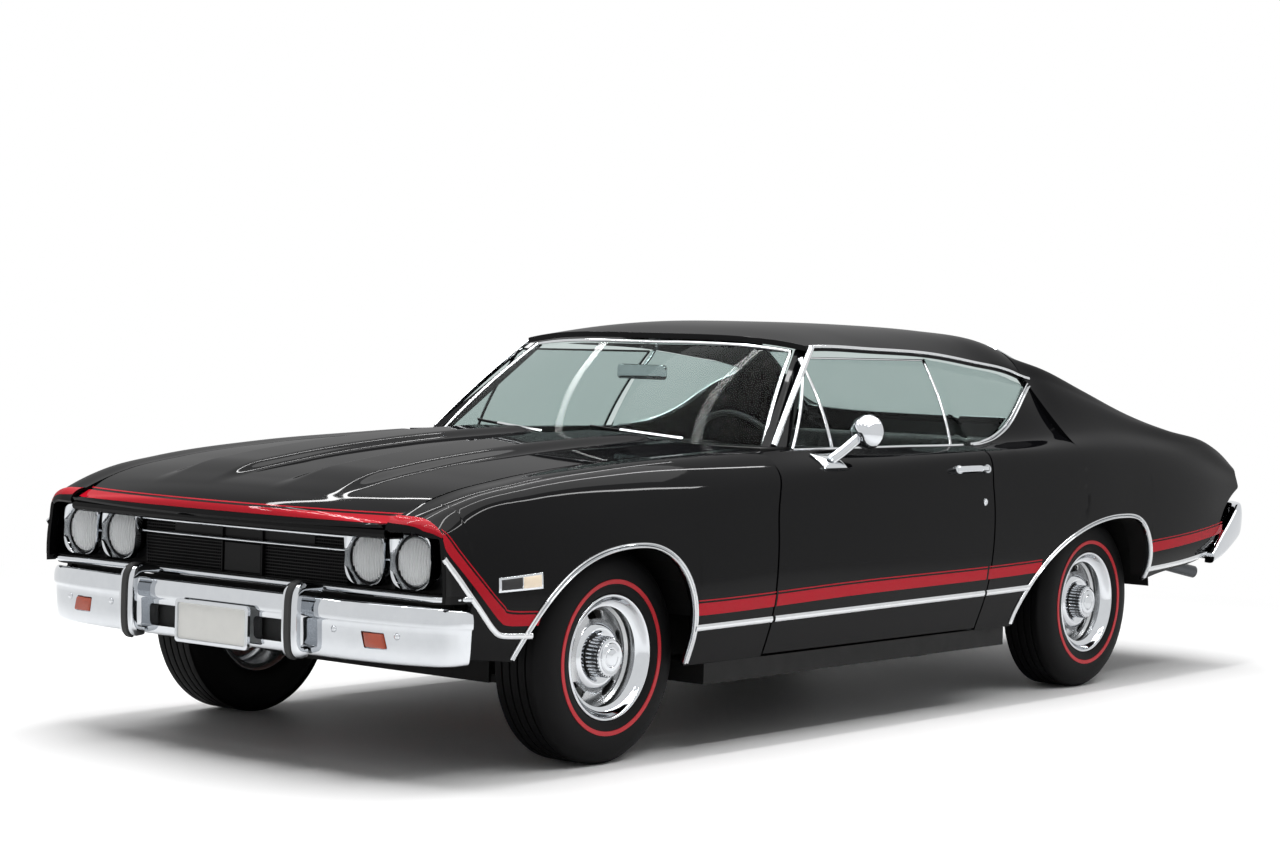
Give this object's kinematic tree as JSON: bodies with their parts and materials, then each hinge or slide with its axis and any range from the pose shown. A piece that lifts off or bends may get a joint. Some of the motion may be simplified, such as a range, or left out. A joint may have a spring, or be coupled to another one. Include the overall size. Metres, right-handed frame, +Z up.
{
  "type": "muscle car",
  "caption": "Two-door fastback hardtop muscle car with spinning and steered wheels, opening doors, hood and trunk lid, and a hollow cabin with seats.",
  "frame": {"origin": "on the ground under the middle of the car", "axes": "+X ahead, +Y to the left side of the car, +Z up"},
  "size_m": [4.92, 1.9348, 1.3458],
  "materials": {
    "body_paint": "gloss black paint",
    "chrome": "bright chrome plate",
    "glass": "tinted safety glass",
    "tyre_rubber": "black rubber with a red ring",
    "wheel_metal": "silver paint and bright trim",
    "underbody": "satin black paint",
    "grille_black": "satin black grille",
    "lamp_glass": "fluted clear lamp glass",
    "lamp_amber": "amber lens",
    "lamp_red": "red lens",
    "plate_white": "blank plate",
    "vinyl": "black pleated vinyl",
    "trim_black": "black grained trim",
    "engine_paint": "orange-red engine paint",
    "bare_steel": "plain steel"
  },
  "bodies": {
    "body": {"frame": "underbody", "floor_pan": "underbody", "front_fenders": "body_paint", "wheelhouses": "underbody", "cowl": "underbody", "quarter_panels": "body_paint", "roof": "body_paint", "deck_panel": "body_paint", "tail_panel": "body_paint", "nose_support": "underbody", "grille": "grille_black", "lamp_bezels": "chrome", "headlamps": "lamp_glass", "front_bumper": "chrome", "bumper_guards": "chrome", "turn_lamps": "lamp_amber", "number_plate": "plate_white", "rear_bumper": "chrome", "tail_lamps": "lamp_red", "windshield": "glass", "rear_window": "glass", "quarter_windows": "glass", "dashboard": "trim_black", "steering_column": "trim_black", "front_seats": "vinyl", "rear_seat": "vinyl", "inside_mirror": "trim_black", "engine": "engine_paint", "front_suspension": "underbody", "rear_axle": "underbody", "exhaust": "bare_steel", "fuel_tank": "bare_steel", "hinge_brackets": "underbody"},
    "door_left": {"door_left": "body_paint", "door_left_glass": "glass", "door_left_hinges": "underbody"},
    "door_right": {"door_right": "body_paint", "door_right_glass": "glass", "door_right_hinges": "underbody"},
    "hood": {"hood": "body_paint", "hood_hinges": "underbody"},
    "trunk_lid": {"trunk_lid": "body_paint", "trunk_hinges": "underbody"},
    "steering_wheel": {"steering_wheel": "trim_black"},
    "knuckle_left": {"knuckle_left": "bare_steel"},
    "knuckle_right": {"knuckle_right": "bare_steel"},
    "wheel_front_left": {"rim_front_left": "wheel_metal", "tyre_front_left": "tyre_rubber"},
    "wheel_front_right": {"rim_front_right": "wheel_metal", "tyre_front_right": "tyre_rubber"},
    "wheel_rear_left": {"rim_rear_left": "wheel_metal", "tyre_rear_left": "tyre_rubber"},
    "wheel_rear_right": {"rim_rear_right": "wheel_metal", "tyre_rear_right": "tyre_rubber"}
  },
  "joints": [
    {"name": "door_left_hinge", "type": "hinge", "parent": "body", "child": "door_left", "pos_m": [0.84, 0.907, 0.565], "axis": [0, 0, -1], "range_deg": [0, 65]},
    {"name": "door_right_hinge", "type": "hinge", "parent": "body", "child": "door_right", "pos_m": [0.84, -0.907, 0.565], "axis": [0, 0, 1], "range_deg": [0, 65]},
    {"name": "hood_hinge", "type": "hinge", "parent": "body", "child": "hood", "pos_m": [0.835, 0, 0.893], "axis": [0, -1, 0], "range_deg": [0, 50]},
    {"name": "trunk_hinge", "type": "hinge", "parent": "body", "child": "trunk_lid", "pos_m": [-1.45, 0, 0.862], "axis": [0, 1, 0], "range_deg": [0, 60]},
    {"name": "steering_wheel_turn", "type": "hinge", "parent": "body", "child": "steering_wheel", "pos_m": [0.33, 0.37, 0.85], "axis": [-0.9063, 0, 0.4226], "range_deg": [-528, 528]},
    {"name": "knuckle_left_steer", "type": "hinge", "parent": "body", "child": "knuckle_left", "pos_m": [1.586, 0.675, 0.322], "axis": [0, 0, 1], "range_deg": [-32, 32]},
    {"name": "knuckle_right_steer", "type": "hinge", "parent": "body", "child": "knuckle_right", "pos_m": [1.586, -0.675, 0.322], "axis": [0, 0, 1], "range_deg": [-32, 32]},
    {"name": "wheel_front_left_spin", "type": "hinge", "parent": "knuckle_left", "child": "wheel_front_left", "pos_m": [1.586, 0.75, 0.322], "axis": [0, 1, 0], "continuous": true},
    {"name": "wheel_front_right_spin", "type": "hinge", "parent": "knuckle_right", "child": "wheel_front_right", "pos_m": [1.586, -0.75, 0.322], "axis": [0, 1, 0], "continuous": true},
    {"name": "wheel_rear_left_spin", "type": "hinge", "parent": "body", "child": "wheel_rear_left", "pos_m": [-1.259, 0.75, 0.322], "axis": [0, 1, 0], "continuous": true},
    {"name": "wheel_rear_right_spin", "type": "hinge", "parent": "body", "child": "wheel_rear_right", "pos_m": [-1.259, -0.75, 0.322], "axis": [0, 1, 0], "continuous": true}
  ],
  "couplings": [
    {"joint": "knuckle_left_steer", "follows": "steering_wheel_turn", "ratio": 0.060606},
    {"joint": "knuckle_right_steer", "follows": "steering_wheel_turn", "ratio": 0.060606}
  ]
}
